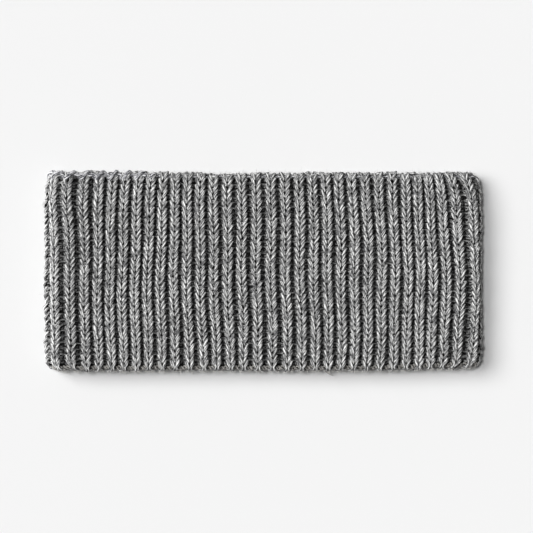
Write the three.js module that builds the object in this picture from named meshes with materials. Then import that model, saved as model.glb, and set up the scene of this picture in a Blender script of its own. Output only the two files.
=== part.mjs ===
// A knitted headband: a wide ring of 1x1 rib knit that lies flat, so that its two layers meet in
// a fold at each side and the head hollow stays open between them from edge to edge.
// Millimetres. +X runs across the band from fold to fold, +Y up the band from the cast-on edge to
// the bind-off edge, and +Z up from the surface it lies on. The origin is the middle of its
// footprint, on that surface.
import * as THREE from 'three';

// Driving dimensions
const flatWidth = 240;
const bandHeight = 110;
const restThickness = 16.5;
const wallDepth = 5.4;
const ribRelief = 2.6;
const topSag = 0.6;
const pieceGap = 0.3;

// The four corners of the outline, which are quarter ellipses: how far each draws the fold in at
// its end of the band, and how far from that end it starts. Side -1 is the left fold, and end 1 is
// the bind-off end.
const corners = [
  { side: -1, end: 1, inset: 4, reach: 16 },
  { side: -1, end: -1, inset: 7, reach: 10 },
  { side: 1, end: 1, inset: 6, reach: 12 },
  { side: 1, end: -1, inset: 7, reach: 12 },
];
const cornerSpread = 24;    // the stretch beside each fold that takes up a corner's inset

// Knit ribs, counted round the ring. The front ones start at the left fold.
const frontRibs = 31;
const foldRibs = 2;
const backRibs = 33;
const ribCount = frontRibs + foldRibs + backRibs;

// Worked out from them
const foldRadius = (restThickness - wallDepth) / 2;
const straightHalf = (flatWidth - wallDepth) / 2 - foldRadius;
const halfHeight = bandHeight / 2;
const quarterTurn = foldRadius * Math.PI / 2;
const perimeter = 4 * (straightHalf + quarterTurn);

// How the front ribs lie between the folds. A row is one rib: its pitch at mid-height, and how
// far it leans and bows sideways on the way from mid-height to an edge.
const firstFrontValley = -110.1;
const ribGuides = [
  { rib: 0, pitch: 8.36, lean: -1.25, bow: -1.15 },
  { rib: 2, pitch: 6.70, lean: 0.24, bow: 1.05 },
  { rib: 6, pitch: 6.97, lean: 0.79, bow: 1.40 },
  { rib: 10, pitch: 7.32, lean: -0.87, bow: 0.96 },
  { rib: 15, pitch: 8.14, lean: -0.54, bow: 0.47 },
  { rib: 18, pitch: 7.41, lean: -0.86, bow: 0.29 },
  { rib: 23, pitch: 7.37, lean: -0.34, bow: -1.60 },
  { rib: 26, pitch: 6.58, lean: -0.29, bow: -1.35 },
  { rib: 29, pitch: 7.80, lean: -1.23, bow: -3.18 },
  { rib: 30, pitch: 6.62, lean: -0.57, bow: -2.15 },
];
const guideReach = 50;      // the height above mid-height at which lean and bow are stated
const rightFoldRib = 7.4;   // pitch of the rib that turns round the right fold
const leftFoldRib = 7.4;    // and of the one that turns round the left fold
const backShift = 4.27;     // moves the back ribs along, so that one lies under the middle
const backBow = 0.8;        // how far the back ribs bow outward towards the edges

// The heights of the band's sections, as shares of its own half-height
const sectionShares = [-1, -0.93, -0.7, 0, 0.7, 0.93, 1];

// One rib's outline between two valleys: a broad outer ridge with a flat crown and a narrow
// valley, and on the hollow side the ridge of the purl column between two knit ribs.
const outerRib = [
  { share: 0.00, rise: 0.00 },
  { share: 0.14, rise: 0.70 },
  { share: 0.36, rise: 1.00 },
  { share: 0.64, rise: 1.00 },
  { share: 0.86, rise: 0.70 },
];
const innerRib = [
  { share: 0.00, rise: 0.00 },
  { share: 0.20, rise: 0.78 },
  { share: 0.50, rise: 1.00 },
  { share: 0.80, rise: 0.78 },
];

// The edges: a row of loops along each end of the ring. A row is one station on a loop: where it
// lies along the loop, and the half-sizes of the edge there, up the band and through the wall.
const edgeHeight = 2.7;
const bindOffLoop = [
  { share: 0.00, up: 1.05, through: 1.75 },
  { share: 0.50, up: 1.35, through: 2.30 },
];
const castOnLoop = [
  { share: 0.00, up: 1.00, through: 1.90 },
  { share: 0.50, up: 1.35, through: 2.40 },
];
const edgeSides = 6;

const bandHalf = halfHeight - edgeHeight - pieceGap;

// A value from one column of the guides, in straight steps between its rows
function guided(rib, column) {
  const last = ribGuides.length - 1;
  if (rib <= ribGuides[0].rib) return ribGuides[0][column];
  if (rib >= ribGuides[last].rib) return ribGuides[last][column];
  const next = ribGuides.findIndex((row) => row.rib >= rib);
  const [low, high] = [ribGuides[next - 1], ribGuides[next]];
  const step = (rib - low.rib) / (high.rib - low.rib);
  return THREE.MathUtils.lerp(low[column], high[column], step);
}

// The ring's length coordinate at a place x across the front, which turns down round each fold
function arcAcross(x) {
  const past = Math.abs(x) - straightHalf;
  if (past <= 0) return x;
  const turned = foldRadius * Math.asin(Math.min(past / foldRadius, 1));
  return Math.sign(x) * (straightHalf + turned);
}

// Where each valley at mid-height lies round the ring: the front ones, then the back ones
const frontValleys = [firstFrontValley];
for (let rib = 0; rib < frontRibs; rib += 1) {
  frontValleys.push(frontValleys[rib] + guided(rib, 'pitch'));
}
const backStart = arcAcross(frontValleys[frontRibs]) + rightFoldRib;
const backEnd = perimeter + arcAcross(frontValleys[0]) - leftFoldRib;

// The place of a valley round the ring, at a height up the band
function valleyArc(index, height) {
  const turn = Math.floor(index / ribCount);
  const valley = index - turn * ribCount;
  const up = height / guideReach;
  let arc;
  if (valley <= frontRibs) {
    const sideways = guided(valley - 0.5, 'lean') * up + guided(valley - 0.5, 'bow') * up * up;
    arc = arcAcross(frontValleys[valley]) + sideways;
  } else {
    const share = (valley - frontRibs - 1) / backRibs;
    const fade = Math.sin(Math.PI * share);
    const bow = -backBow * Math.cos(Math.PI * share) * up * up;
    arc = THREE.MathUtils.lerp(backStart, backEnd, share) + (bow - backShift) * fade;
  }
  return arc + turn * perimeter;
}

// How far a fold draws in at a height, which rounds the four corners of the outline
function cornerInset(side, height) {
  const { inset, reach } = corners.find((row) => row.side === side && row.end * height >= 0);
  const past = Math.max(Math.abs(height) - (halfHeight - reach), 0) / reach;
  return inset * (1 - Math.sqrt(1 - past * past));
}

// The point of the ring at a length coordinate, lifted outward from the middle of the wall. The
// ring is two straight layers joined by half circles, and its top layer sags between the folds.
function ringPoint(arc, lift, height) {
  const along = THREE.MathUtils.euclideanModulo(arc + straightHalf, perimeter);
  const fold = 2 * quarterTurn;
  const straight = 2 * straightHalf;
  const midTop = restThickness - wallDepth / 2;
  const midFold = restThickness / 2;
  const reach = foldRadius + lift;
  let x;
  let z;
  if (along <= straight) {
    x = along - straightHalf;
    z = midTop + lift - topSag * (1 - (x / straightHalf) ** 2) ** 2;
  } else if (along < straight + fold) {
    const angle = (along - straight) / foldRadius;
    x = straightHalf + reach * Math.sin(angle);
    z = midFold + reach * Math.cos(angle);
  } else if (along <= 2 * straight + fold) {
    x = straightHalf - (along - straight - fold);
    z = wallDepth / 2 - lift;
  } else {
    const angle = (along - 2 * straight - fold) / foldRadius;
    x = -straightHalf - reach * Math.sin(angle);
    z = midFold - reach * Math.cos(angle);
  }
  const side = x < 0 ? -1 : 1;
  const nearFold = THREE.MathUtils.smoothstep(Math.abs(x), straightHalf - cornerSpread, straightHalf);
  return new THREE.Vector3(x - side * cornerInset(side, height) * nearFold, height, z);
}

// A closed outline of the ring at a height: every rib's profile in turn. An outer rib runs from
// valley to valley, and an inner one from the middle of one outer rib to the middle of the next.
function ringOutline(profile, height, side) {
  const points = [];
  const floor = wallDepth / 2 - ribRelief;
  for (let rib = 0; rib < ribCount; rib += 1) {
    for (const { share, rise } of profile) {
      const place = rib + share - (side < 0 ? 0.5 : 0);
      const valley = Math.floor(place);
      const arc = THREE.MathUtils.lerp(
        valleyArc(valley, height), valleyArc(valley + 1, height), place - valley);
      points.push(ringPoint(arc, side * (floor + ribRelief * rise), height));
    }
  }
  return points;
}

// A closed mesh from rows of points and the triangles between them
function meshOf(points, triangles) {
  const geometry = new THREE.BufferGeometry();
  geometry.setAttribute(
    'position', new THREE.Float32BufferAttribute(points.flatMap((p) => p.toArray()), 3));
  geometry.setIndex(triangles);
  geometry.computeVertexNormals();
  return geometry;
}

// Quads between closed rows of equal length. `first` is the index of the first row's first point.
function joinRows(triangles, first, rows, length, outward) {
  for (let row = 0; row < rows - 1; row += 1) {
    for (let k = 0; k < length; k += 1) {
      const a = first + row * length + k;
      const b = first + row * length + (k + 1) % length;
      const [c, d] = [a + length, b + length];
      if (outward) triangles.push(a, b, c, b, d, c);
      else triangles.push(a, c, b, b, c, d);
    }
  }
}

// The knitted tube: its outer and inner faces, and the two flat ends between them
function ribBand() {
  const outer = [];
  const inner = [];
  for (const share of sectionShares) {
    outer.push(ringOutline(outerRib, share * bandHalf, 1));
    inner.push(ringOutline(innerRib, share * bandHalf, -1));
  }
  const rows = sectionShares.length;
  const outerLength = outer[0].length;
  const innerLength = inner[0].length;
  const innerFirst = rows * outerLength;
  const triangles = [];
  joinRows(triangles, 0, rows, outerLength, true);
  joinRows(triangles, innerFirst, rows, innerLength, false);
  for (const row of [0, rows - 1]) {
    const flat = (p) => new THREE.Vector2(p.x, p.z);
    const faces = THREE.ShapeUtils.triangulateShape(outer[row].map(flat), [inner[row].map(flat)]);
    const index = (k) => (k < outerLength
      ? row * outerLength + k
      : innerFirst + row * innerLength + k - outerLength);
    for (const [a, b, c] of faces) {
      const turned = row === 0 ? [a, b, c] : [a, c, b];
      triangles.push(...turned.map(index));
    }
  }
  return meshOf([...outer.flat(), ...inner.flat()], triangles);
}

// An edge: a ring of loops, one to each rib, swept round one end of the tube
function loopEdge(profile, end) {
  const middle = end * (halfHeight - edgeHeight / 2);
  const stations = [];
  for (let rib = 0; rib < ribCount; rib += 1) {
    for (const { share, up, through } of profile) {
      const arc = THREE.MathUtils.lerp(
        valleyArc(rib, middle), valleyArc(rib + 1, middle), share);
      for (let side = 0; side < edgeSides; side += 1) {
        const angle = 2 * Math.PI * (side + 0.5) / edgeSides;
        const point = ringPoint(arc, through * Math.cos(angle), middle);
        point.y += up * Math.sin(angle);
        stations.push(point);
      }
    }
  }
  const count = stations.length / edgeSides;
  const triangles = [];
  for (let station = 0; station < count; station += 1) {
    for (let side = 0; side < edgeSides; side += 1) {
      const a = station * edgeSides + side;
      const b = station * edgeSides + (side + 1) % edgeSides;
      const next = ((station + 1) % count) * edgeSides;
      const [c, d] = [next + side, next + (side + 1) % edgeSides];
      triangles.push(a, c, b, b, c, d);
    }
  }
  return meshOf(stations, triangles);
}

// The yarn: a heathered light and dark grey with a dry, fuzzy surface
const yarn = new THREE.MeshStandardMaterial({ color: 0x8f908f, roughness: 0.92, metalness: 0 });
const edgeYarn = new THREE.MeshStandardMaterial({ color: 0x9c9a95, roughness: 0.92, metalness: 0 });

function named(name, geometry, material) {
  const mesh = new THREE.Mesh(geometry, material);
  mesh.name = name;
  return mesh;
}

const headband = new THREE.Group();
headband.add(named('rib_band', ribBand(), yarn));
headband.add(named('bind_off_edge', loopEdge(bindOffLoop, 1), edgeYarn));
headband.add(named('cast_on_edge', loopEdge(castOnLoop, -1), edgeYarn));

// The fold ribs aren't quite alike, so the middle of the footprint is brought to the origin
const bounds = new THREE.Box3().setFromObject(headband);
const middle = bounds.getCenter(new THREE.Vector3());
headband.position.set(-middle.x, -middle.y, -bounds.min.z);

export default headband;
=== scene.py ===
"""A reflective knit headband that lies flat: the finished look of every strand.

The band is a ring of 1x1 rib knit. Each course of the knitting is a swept tube of yarn that runs
once round the ring and follows the path of real stitches: out over a knit rib, back through the
wall, over the purl rib on the hollow side, and out again. A thin layer of loose fibre fills the
middle of the wall, and a twisted chain closes each end of the ring.

Sizes in the classes are millimetres, and meshes are metres. The ring is laid out on a flat strip
first: `along` runs round the ring, `up` runs from the cast-on end to the bind-off end, and `out`
is the height above the middle of the wall. BandShape then drapes the strip round the ring.
"""
import logging
import math
from dataclasses import dataclass, field
from enum import Enum
from functools import cached_property

import bpy
import numpy as np
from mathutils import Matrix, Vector


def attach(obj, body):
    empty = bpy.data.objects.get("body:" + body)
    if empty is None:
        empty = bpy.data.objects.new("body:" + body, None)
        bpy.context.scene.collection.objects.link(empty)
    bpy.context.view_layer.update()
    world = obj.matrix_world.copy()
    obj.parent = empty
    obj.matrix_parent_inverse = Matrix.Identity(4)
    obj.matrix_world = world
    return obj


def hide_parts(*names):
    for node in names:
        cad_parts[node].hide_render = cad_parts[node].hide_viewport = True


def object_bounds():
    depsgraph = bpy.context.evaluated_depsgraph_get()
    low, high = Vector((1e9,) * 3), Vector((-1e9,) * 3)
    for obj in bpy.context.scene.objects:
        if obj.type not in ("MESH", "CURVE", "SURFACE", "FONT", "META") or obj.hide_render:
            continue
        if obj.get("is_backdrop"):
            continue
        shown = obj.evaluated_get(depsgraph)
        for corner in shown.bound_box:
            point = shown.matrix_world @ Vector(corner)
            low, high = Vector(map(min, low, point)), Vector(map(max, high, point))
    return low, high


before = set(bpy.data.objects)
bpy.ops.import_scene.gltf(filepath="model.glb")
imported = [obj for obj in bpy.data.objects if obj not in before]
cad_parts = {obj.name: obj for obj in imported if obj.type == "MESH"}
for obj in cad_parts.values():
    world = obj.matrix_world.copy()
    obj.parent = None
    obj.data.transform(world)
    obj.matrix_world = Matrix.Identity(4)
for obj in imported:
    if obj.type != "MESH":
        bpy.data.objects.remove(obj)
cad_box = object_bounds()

LOG = logging.getLogger("headband")
MM = 0.001
TURN = 2 * math.pi
STRAND_STEP = 137.3     # millimetres of yarn between the patterns of neighbouring strands
MATERIAL_SHADER = "Principled BSDF"
MATT = {"Roughness": 1.0, "Specular IOR Level": 0.0}
WHITE = (1.0, 1.0, 1.0, 1.0)
Socket = bpy.types.NodeSocket


class End(Enum):
    """The two open ends of the ring."""

    BIND_OFF = 1
    CAST_ON = -1


def smooth_step(value: np.ndarray, low: float, high: float) -> np.ndarray:
    """A soft step from 0 at `low` to 1 at `high`: 3t^2 - 2t^3 of the share t between them."""
    share = np.clip((value - low) / (high - low), 0, 1)
    return share * share * (3 - 2 * share)


def unit(vectors: np.ndarray) -> np.ndarray:
    """Vectors of length 1 that point the same way. The last axis is x, y, z."""
    return vectors / np.linalg.norm(vectors, axis=-1, keepdims=True)


def across_part(vectors: np.ndarray, axis: np.ndarray) -> np.ndarray:
    """What is left of vectors once their part along unit vectors is taken away, at length 1."""
    return unit(vectors - (vectors * axis).sum(-1, keepdims=True) * axis)


def index_grid(*counts: int) -> list[np.ndarray]:
    """The indices of every cell of a grid as flat arrays, one for each of its axes."""
    return [axis.ravel() for axis in np.meshgrid(*(np.arange(n) for n in counts), indexing="ij")]


@dataclass(frozen=True)
class RibGuide:
    """How one front rib lies: its pitch at mid-height, and how far it leans and bows sideways."""

    rib: float
    pitch: float
    lean: float
    bow: float


@dataclass(frozen=True)
class Corner:
    """A corner of the outline: a quarter ellipse that draws a fold in at one end of the band."""

    side: int           # -1 at the left fold and 1 at the right
    end: End
    inset: float
    reach: float        # how far from the end it starts


@dataclass(frozen=True)
class OpenValley:
    """A valley that is stretched open: its purl column stands a little higher, and painted light on its
    bumps makes them show.
    """

    valley: int
    bind_off: float     # how open it is at the bind-off end, from 0 to 1
    cast_on: float      # and at the cast-on end
    ribs: float         # how many ribs away the valleys are closed again


@dataclass(frozen=True)
class BandShape:
    """The flat-lying ring: where each rib runs, and how the strip bends round the two folds."""

    flat_width: float = 240.0
    band_height: float = 110.0
    rest_thickness: float = 16.5
    wall_depth: float = 5.4
    top_sag: float = 0.6
    corner_spread: float = 24.0     # the stretch beside each fold that takes up a corner's inset
    front_ribs: int = 31
    fold_ribs: int = 2
    back_ribs: int = 33
    rib_pitch: float = 7.4          # one knit and one purl column, as knitted
    column_half: float = 1.85       # from a knit column's middle to where it turns to purl
    firmness: float = 0.7           # how much of a column's width stays when its rib is stretched
    first_front_valley: float = -110.1
    guide_reach: float = 50.0       # the height above mid-height at which lean and bow are stated
    fold_rib: float = 7.4           # pitch of the rib that turns round each fold
    back_shift: float = 4.27
    back_bow: float = 0.8
    hem_slide: float = 1.3          # how far the lower layer lies up from the upper one's cast-on
    hem_reach: float = 24.0         # edge, and the height of the stretch that slides with it
    hem_rise: float = 1.7           # how much the cast-on edge rises toward the right fold,
    rise_from: float = 55.0         # and between which places across the band
    rise_to: float = 112.0
    least_open: float = 0.50        # how far open even closed valleys lie, for their rise and painted light
    open_rise: float = 0.30         # how much of its depth a purl column loses in an open valley
    right_inset: float = 1.5        # how much flatter the right fold is than a half circle
    fold_from: float = 0.8          # a place counts as on a fold up to this far from its middle, in
    fold_to: float = 1.4            # quarter turns, and less and less up to this far
    corners: tuple[Corner, ...] = (
        Corner(-1, End.BIND_OFF, 4.0, 16.0),
        Corner(-1, End.CAST_ON, 7.0, 10.0),
        Corner(1, End.BIND_OFF, 5.0, 19.0),
        Corner(1, End.CAST_ON, 5.5, 9.0),
    )
    open_valleys: tuple[OpenValley, ...] = (
        OpenValley(0, 0.85, 0.45, 0.9),
        OpenValley(2, 0.5, 0.0, 0.9),
        OpenValley(6, 0.20, 0.20, 1.8),
        OpenValley(17, 0.05, 0.50, 3.8),
        OpenValley(26, 0.22, 0.22, 6.0),
        OpenValley(30, 0.8, 0.15, 1.3),
    )
    guides: tuple[RibGuide, ...] = (
        RibGuide(0, 8.36, -1.25, -1.15),
        RibGuide(2, 6.70, 0.24, 1.05),
        RibGuide(6, 6.97, 0.79, 1.40),
        RibGuide(10, 7.32, -0.87, 0.96),
        RibGuide(15, 8.14, -0.54, 0.47),
        RibGuide(18, 7.41, -0.86, 0.29),
        RibGuide(23, 7.37, -0.34, -1.60),
        RibGuide(26, 6.58, -0.29, -1.35),
        RibGuide(29, 7.80, -1.23, -3.18),
        RibGuide(30, 6.62, -0.57, -2.15),
    )

    @property
    def ribs(self) -> int:
        """All ribs round the ring."""
        return self.front_ribs + self.fold_ribs + self.back_ribs

    @property
    def strip_length(self) -> float:
        """The flat strip's length, once round the ring."""
        return self.ribs * self.rib_pitch

    @property
    def half_height(self) -> float:
        """From the middle of the band to either edge."""
        return self.band_height / 2

    @property
    def fold_radius(self) -> float:
        """The radius of the middle of the wall where it folds."""
        return (self.rest_thickness - self.wall_depth) / 2

    @property
    def straight_half(self) -> float:
        """Half the straight stretch of a layer."""
        return (self.flat_width - self.wall_depth) / 2 - self.fold_radius

    @property
    def quarter_turn(self) -> float:
        """The length of half a fold."""
        return self.fold_radius * math.pi / 2

    @property
    def perimeter(self) -> float:
        """The length round the middle of the wall."""
        return 4 * (self.straight_half + self.quarter_turn)

    def guided(self, rib: np.ndarray, column: str) -> np.ndarray:
        """A field of RibGuide at each rib, in straight steps between the rows of the guides."""
        rows = [guide.rib for guide in self.guides]
        return np.interp(rib, rows, [getattr(guide, column) for guide in self.guides])

    def arc_across(self, x: np.ndarray) -> np.ndarray:
        """The length round the ring at a place across the front, which turns down at each fold.

        Args:
            x: Places across the front.

        Returns:
            Lengths round the ring from the middle of the front.
        """
        past = np.clip((np.abs(x) - self.straight_half) / self.fold_radius, 0, 1)
        turned = self.straight_half + self.fold_radius * np.arcsin(past)
        return np.where(past > 0, np.sign(x) * turned, x)

    @cached_property
    def front_valleys(self) -> np.ndarray:
        """Where each valley of the front lies, as lengths round the ring."""
        pitches = self.guided(np.arange(self.front_ribs), "pitch")
        steps = np.concatenate([[0], np.cumsum(pitches)])
        return self.arc_across(self.first_front_valley + steps)

    def valley_arc(self, valley: np.ndarray, up: np.ndarray) -> np.ndarray:
        """The place of a valley round the ring. A front valley leans and bows with its guides.

        Args:
            valley: Whole valley numbers, which may run past the ring's first or last.
            up: Heights on the strip.

        Returns:
            Lengths round the ring.
        """
        turn, index = np.divmod(valley, self.ribs)
        rise = up / self.guide_reach
        lean = self.guided(index - 0.5, "lean")
        sideways = lean * rise + self.guided(index - 0.5, "bow") * rise**2
        front = self.front_valleys[np.minimum(index, self.front_ribs)] + sideways
        share = (index - self.front_ribs - 1) / self.back_ribs
        first = self.front_valleys[-1] + self.fold_rib
        last = self.perimeter + self.front_valleys[0] - self.fold_rib
        bow = -self.back_bow * np.cos(math.pi * share) * rise**2
        back = first + (last - first) * share + (bow - self.back_shift) * np.sin(math.pi * share)
        return np.where(index <= self.front_ribs, front, back) + turn * self.perimeter

    def strip_arc(self, along: np.ndarray, up: np.ndarray, out: np.ndarray) -> np.ndarray:
        """The length round the ring of a place on the strip.

        A knit column keeps most of its width where its rib is wide or narrow, and the purl
        column beside it takes up the rest. Round a fold the outer columns keep their own width,
        and the valleys between them open.

        Args:
            along: Places along the strip.
            up: Heights on the strip.
            out: Heights above the middle of the wall.

        Returns:
            Lengths round the ring.
        """
        rib = np.floor(along / self.rib_pitch).astype(int)
        low = self.valley_arc(rib, up)
        high = self.valley_arc(rib + 1, up)
        middle = (low + high) / 2
        aside = along - (rib + 0.5) * self.rib_pitch
        half = (high - low) / 2
        firm = self.column_half * (1 + (2 * half / self.rib_pitch - 1) * (1 - self.firmness))
        inner = np.minimum(np.abs(aside), self.column_half) / self.column_half * firm
        rest = self.rib_pitch / 2 - self.column_half
        outer = np.maximum(np.abs(aside) - self.column_half, 0) / rest * (half - firm)
        folded = self.fold_weight(middle)
        raised = np.maximum(out, 0)
        spread = 1 - folded * raised / (self.fold_radius + raised)
        return middle + np.sign(aside) * (inner + outer) * spread

    def openness(self, along: np.ndarray, up: np.ndarray) -> np.ndarray:
        """How far the valleys about a place lie open.

        Args:
            along: Places along the strip.
            up: Heights on the strip.

        Returns:
            `least_open` where the ribs stand close, and up to 1 where they lie far apart.
        """
        most = np.full(np.broadcast(along, up).shape, self.least_open)
        share = np.clip(0.5 + up / (2 * self.half_height), 0, 1)
        half_way = self.ribs / 2
        for row in self.open_valleys:
            away = np.mod(along / self.rib_pitch - row.valley + half_way, self.ribs) - half_way
            level = row.cast_on + (row.bind_off - row.cast_on) * share
            near = 1 - smooth_step(np.abs(away), row.ribs / 2, row.ribs)
            most = np.maximum(most, level * near)
        return most

    def fold_weight(self, arc: np.ndarray) -> np.ndarray:
        """1 where the ring turns round a fold and 0 on its straight layers.

        Args:
            arc: Lengths round the ring.

        Returns:
            The weight of each place.
        """
        fold_middle = self.straight_half + self.quarter_turn
        from_fold = np.abs(np.mod(arc, 2 * fold_middle) - fold_middle)
        full, none = self.fold_from * self.quarter_turn, self.fold_to * self.quarter_turn
        return 1 - smooth_step(from_fold, full, none)

    def corner_inset(self, x: np.ndarray, up: np.ndarray) -> np.ndarray:
        """How far the corners and the flatter right fold move a place sideways, toward the middle.

        Args:
            x: Places across the band.
            up: Heights on the strip.

        Returns:
            What the corners add to x.
        """
        moved = np.zeros_like(x)
        spread_from = self.straight_half - self.corner_spread
        near_fold = smooth_step(np.abs(x), spread_from, self.straight_half)
        for corner in self.corners:
            start = self.half_height - corner.reach
            past = np.clip(corner.end.value * up - start, 0, corner.reach)
            inset = corner.inset * (1 - np.sqrt(1 - (past / corner.reach) ** 2))
            moved -= np.where(x * corner.side > 0, corner.side * inset * near_fold, 0)
        rim = smooth_step(x, self.straight_half + self.fold_radius / 2, self.flat_width / 2)
        return moved - self.right_inset * rim

    def drape(self, strip: np.ndarray, radius: float) -> tuple[np.ndarray, np.ndarray]:
        """Lays places on the strip round the ring: two straight layers joined by half circles.

        The upper layer sags a little between the folds. The lower one rests on the surface, so
        what stands out of it there is pressed flat. Last, the corners and the right fold are
        drawn in, the lower layer's cast-on edge slides up, and both layers' rises to the right.

        Args:
            strip: Places as along, up, out on the last axis.
            radius: The radius of the strand that runs through these places.

        Returns:
            The places in x, y, z, and the direction there that points out of the wall.
        """
        along, up, out = np.moveaxis(strip, -1, 0)
        out = np.where(out < 0, out * (1 - self.open_rise * self.openness(along, up)), out)
        arc = self.strip_arc(along, up, out)
        straight = self.straight_half
        around = self.perimeter
        arc = np.mod(arc, around)
        fold = 2 * self.quarter_turn
        middle_top = self.rest_thickness - self.wall_depth / 2
        middle_fold = self.rest_thickness / 2

        on_top = (arc <= straight) | (arc >= around - straight)
        on_right = ~on_top & (arc < straight + fold)
        on_bottom = ~on_top & ~on_right & (arc <= 3 * straight + fold)
        start = np.where(on_right, straight, 3 * straight + fold)
        side = np.where(on_right, 1.0, -1.0)
        angle = np.clip((arc - start) / self.fold_radius, 0, math.pi)
        sideways = np.where(on_top | on_bottom, 0.0, side * np.sin(angle))
        upright = np.where(on_top, 1.0, side * np.cos(angle))
        upright = np.where(on_bottom, -1.0, upright)
        proud = np.maximum(out - (self.wall_depth / 2 - radius), 0)
        out = out - proud * np.clip(-upright, 0, 1)

        reach = self.fold_radius + out
        top_x = np.where(arc <= straight, arc, arc - around)
        sag = self.top_sag * (1 - np.clip(top_x / straight, -1, 1) ** 2) ** 2
        x = np.where(on_top, top_x, side * (straight + reach * np.sin(angle)))
        x = np.where(on_bottom, 2 * straight + fold - arc, x)
        z = np.where(on_top, middle_top + out - sag, middle_fold + side * reach * np.cos(angle))
        z = np.where(on_bottom, self.wall_depth / 2 - out, z)

        x = x + self.corner_inset(x, up)
        under = (1 - upright) / 2
        near_hem = smooth_step(-up, self.half_height - self.hem_reach, self.half_height)
        slide = self.hem_slide * under * near_hem
        lower_half = smooth_step(-up, 0, self.half_height)
        rise = self.hem_rise * smooth_step(x, self.rise_from, self.rise_to) * lower_half
        place = np.stack([x, up + slide + rise, z], -1)
        outward = np.stack([sideways, np.zeros_like(x), upright], -1)
        return place, outward


@dataclass(frozen=True)
class StitchPoint:
    """A point of a stitch, from the middle of its column and the foot of its course."""

    across: float
    up: float
    out: float
    girth: float = 1.0      # how thick the yarn is there, as a share of its usual thickness


@dataclass(frozen=True)
class Stitch:
    """The path of the yarn through one stitch, which is alike on both sides of its middle."""

    left_half: tuple[StitchPoint, ...] = (
        StitchPoint(-1.85, -0.30, 0.00, 0.85),      # sinker, where the yarn passes through the wall
        StitchPoint(-1.05, -0.75, 0.70, 0.80),      # foot
        StitchPoint(-0.44, 0.30, 1.50, 0.85),       # neck, out of the loop below
        StitchPoint(-1.14, 1.75, 2.10, 1.15),       # leg
        StitchPoint(-1.92, 3.20, 1.85, 1.15),       # upper leg
        StitchPoint(-2.35, 4.20, 1.10, 0.95),       # shoulder
        StitchPoint(-1.20, 4.62, 0.65, 0.85),       # side of the head
        StitchPoint(0.00, 4.70, 1.10, 0.85),        # middle of the head
    )

    head_from: float = 4.4          # points above this height belong to the head
    shoulder_from: float = 4.0      # and points between this one and that to the shoulders
    foot_below: float = -0.5        # and points below this one to the feet
    first_forward: float = 0.9      # how much further out the feet of the first course lie
    last_forward: float = 0.25      # how much further out the heads of the last course lie
    last_drop: float = 1.40         # and how much lower, where they close the last V of a rib
    shoulder_drop: float = 0.40     # how much lower its shoulders lie

    @property
    def height(self) -> float:
        """From the foot of the course to the top of its heads."""
        return max(point.up for point in self.left_half)

    @property
    def crest(self) -> float:
        """How far the legs stand out of the middle of the wall."""
        return max(point.out for point in self.left_half)

    def whole(self) -> np.ndarray:
        """Both halves, up to but without the next stitch's first point.

        Returns:
            One row for each point: across, up, out, girth.
        """
        left = np.array([(point.across, point.up, point.out, point.girth) for point in self.left_half])
        right = left[-2:0:-1] * np.array([-1, 1, 1, 1])
        return np.vstack([left, right])


def closed_spline(points: np.ndarray, period: float, count: int) -> np.ndarray:
    """Samples of a smooth curve through closed rows of points on the strip.

    Between two points the curve is the cubic whose slope at each of them is half the step from
    the point before to the point after. Past its last point a row goes on at its first one, one
    strip length further along.

    Args:
        points: Rows of points, as row, point and then along, up, out.
        period: The strip's length.
        count: How many samples to take in each row.

    Returns:
        The samples, as row, sample and then along, up, out.
    """
    total = points.shape[1]
    place = np.arange(count) * total / count
    first = np.floor(place).astype(int)
    share = (place - first)[None, :, None]

    def shifted(step: int) -> np.ndarray:
        """The points a number of steps on from the one before each sample.

        Args:
            step: How many points on.

        Returns:
            The points, moved on by whole strip lengths where they lie past the last one.
        """
        turn, index = np.divmod(first + step, total)
        found = points[:, index].copy()
        found[..., 0] += turn * period
        return found

    before, start, end, after = (shifted(step) for step in (-1, 0, 1, 2))
    slope = end - before
    bend = 2 * before - 5 * start + 4 * end - after
    twist = 3 * start - before - 3 * end + after
    return 0.5 * (2 * start + slope * share + bend * share**2 + twist * share**3)


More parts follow.
